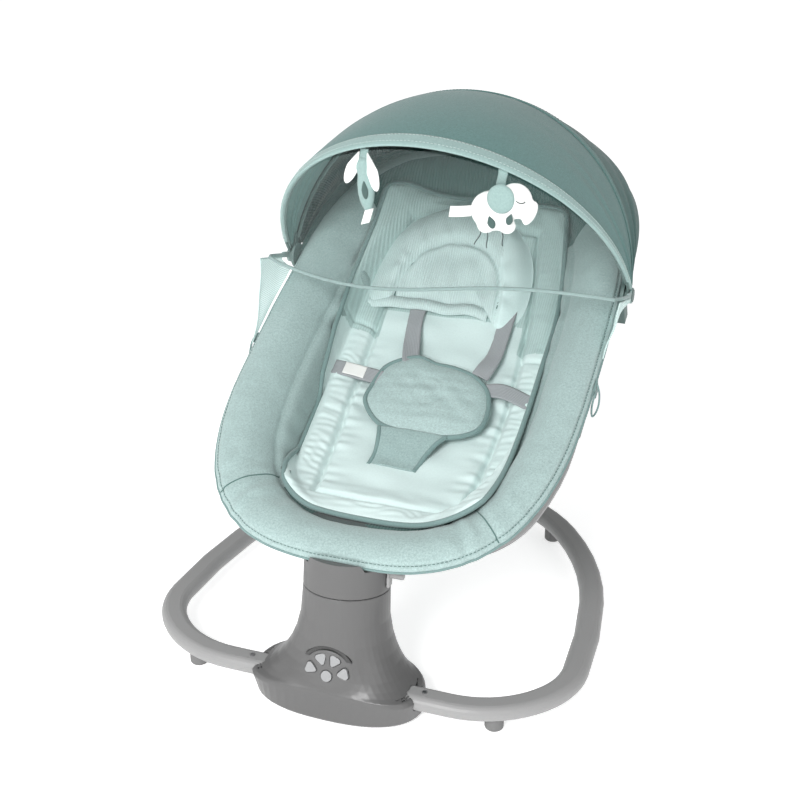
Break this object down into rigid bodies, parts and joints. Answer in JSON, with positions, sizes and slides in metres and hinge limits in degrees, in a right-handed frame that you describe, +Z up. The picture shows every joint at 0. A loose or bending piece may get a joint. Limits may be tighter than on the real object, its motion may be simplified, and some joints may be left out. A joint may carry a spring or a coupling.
{
  "type": "baby swing",
  "caption": "Baby swing: a padded fabric seat with a folding canopy, insect net and harness, turning on a leaning column over a tubular floor loop.",
  "frame": {"origin": "on the floor, under the centre of the bounding box", "axes": "+Z up, -Y towards the foot end and the column, +Y towards the head end, +X to the viewer's right"},
  "size_m": [0.5934, 0.7568, 0.6766],
  "materials": {
    "painted_steel": "satin",
    "bare_steel": "satin",
    "rubber": "matte",
    "housing_plastic": "satin",
    "dark_plastic": "matte",
    "button_plastic": "satin",
    "circuit_board": "satin",
    "copper_winding": "satin",
    "silicone": "matte",
    "rim_fabric": "matte",
    "stiff_board": "matte",
    "pad_fabric": "matte",
    "binding_fabric": "matte",
    "webbing": "matte",
    "buckle_plastic": "satin",
    "canopy_fabric": "matte",
    "net": "matte",
    "plush": "matte"
  },
  "bodies": {
    "base": {"floor_tube": "painted_steel", "tube_screws": "bare_steel", "front_feet": "rubber", "rear_feet": "rubber", "column_housing": "housing_plastic", "base_plate": "dark_plastic", "plate_screws": "bare_steel", "power_inlet": "dark_plastic", "control_board": "circuit_board", "dome_pad": "silicone", "indicator_window": "dark_plastic", "bearing_carrier": "dark_plastic", "upper_bearing": "bare_steel", "lower_bearing": "bare_steel", "drive_coil": "copper_winding"},
    "head": {"head_shell": "housing_plastic", "spindle": "bare_steel", "magnet_arm": "dark_plastic", "spindle_clip": "bare_steel", "tilt_pin": "bare_steel", "lever_spring": "bare_steel"},
    "lever": {"recline_lever": "button_plastic"},
    "seat": {"seat_bracket": "dark_plastic", "bracket_bolts": "bare_steel", "seat_frame_tube": "painted_steel", "frame_sleeves": "painted_steel", "seat_basket": "rim_fabric", "seat_board": "stiff_board", "seat_pad": "pad_fabric", "head_pillow": "pad_fabric", "shoulder_straps": "webbing", "waist_straps": "webbing", "waist_pad": "binding_fabric", "crotch_strap": "binding_fabric", "harness_buckle": "buckle_plastic", "rim_clips": "rim_fabric", "hub_left": "dark_plastic", "hub_right": "dark_plastic", "canopy_rear": "canopy_fabric"},
    "canopy_middle": {"middle_bow_rod": "canopy_fabric", "canopy_front": "canopy_fabric"},
    "canopy_front_bow": {"front_bow_rod": "canopy_fabric", "insect_net": "net"},
    "hoop": {"net_hoop": "canopy_fabric", "side_nets": "net"},
    "toy_one": {"toy_elephant": "plush"},
    "toy_two": {"toy_bird": "plush"},
    "button_a": {"button_outer_left": "button_plastic"},
    "button_b": {"button_inner_left": "button_plastic"},
    "button_c": {"button_centre": "button_plastic"},
    "button_d": {"button_inner_right": "button_plastic"},
    "button_e": {"button_outer_right": "button_plastic"}
  },
  "joints": [
    {"name": "swing", "type": "hinge", "parent": "base", "child": "head", "pos_m": [0, -0.2894, 0.152], "axis": [0, 0.1547, 0.988], "range_deg": [-15, 15]},
    {"name": "recline", "type": "hinge", "parent": "head", "child": "seat", "pos_m": [0, -0.27469, 0.19423], "axis": [1, 0, 0], "range_deg": [-12, 0]},
    {"name": "lever", "type": "slide", "parent": "head", "child": "lever", "axis": [0, 0.1547, 0.988], "range_m": [-0.004, 0], "stiffness_N_per_m": 600, "deforming": ["lever_spring"]},
    {"name": "canopy_middle", "type": "hinge", "parent": "seat", "child": "canopy_middle", "pos_m": [0, 0.1366, 0.415], "axis": [1, 0, 0], "range_deg": [-34, 0], "deforming": ["canopy_rear"]},
    {"name": "canopy_front", "type": "hinge", "parent": "canopy_middle", "child": "canopy_front_bow", "pos_m": [0, 0.1366, 0.415], "axis": [1, 0, 0], "range_deg": [-40, 0], "deforming": ["canopy_front"]},
    {"name": "hoop", "type": "hinge", "parent": "canopy_front_bow", "child": "hoop", "pos_m": [0, 0.1366, 0.415], "axis": [1, 0, 0], "range_deg": [-22, 15], "deforming": ["insect_net"]},
    {"name": "toy_one", "type": "hinge", "parent": "canopy_front_bow", "child": "toy_one", "pos_m": [0.10853, -0.01566, 0.61657], "axis": [1, 0, 0], "range_deg": [-30, 0]},
    {"name": "toy_two", "type": "hinge", "parent": "canopy_front_bow", "child": "toy_two", "pos_m": [-0.07371, -0.02472, 0.62904], "axis": [1, 0, 0], "range_deg": [-30, 0]},
    {"name": "press_outer_left", "type": "slide", "parent": "base", "child": "button_a", "axis": [0, 0.9563, -0.2924], "range_m": [0, 0.0012], "stiffness_N_per_m": 400},
    {"name": "press_inner_left", "type": "slide", "parent": "base", "child": "button_b", "axis": [0, 0.9563, -0.2924], "range_m": [0, 0.0012], "stiffness_N_per_m": 400},
    {"name": "press_centre", "type": "slide", "parent": "base", "child": "button_c", "axis": [0, 0.9563, -0.2924], "range_m": [0, 0.0012], "stiffness_N_per_m": 400},
    {"name": "press_inner_right", "type": "slide", "parent": "base", "child": "button_d", "axis": [0, 0.9563, -0.2924], "range_m": [0, 0.0012], "stiffness_N_per_m": 400},
    {"name": "press_outer_right", "type": "slide", "parent": "base", "child": "button_e", "axis": [0, 0.9563, -0.2924], "range_m": [0, 0.0012], "stiffness_N_per_m": 400}
  ],
  "couplings": [
    {"joint": "canopy_front", "follows": "canopy_middle", "ratio": 1.176}
  ]
}
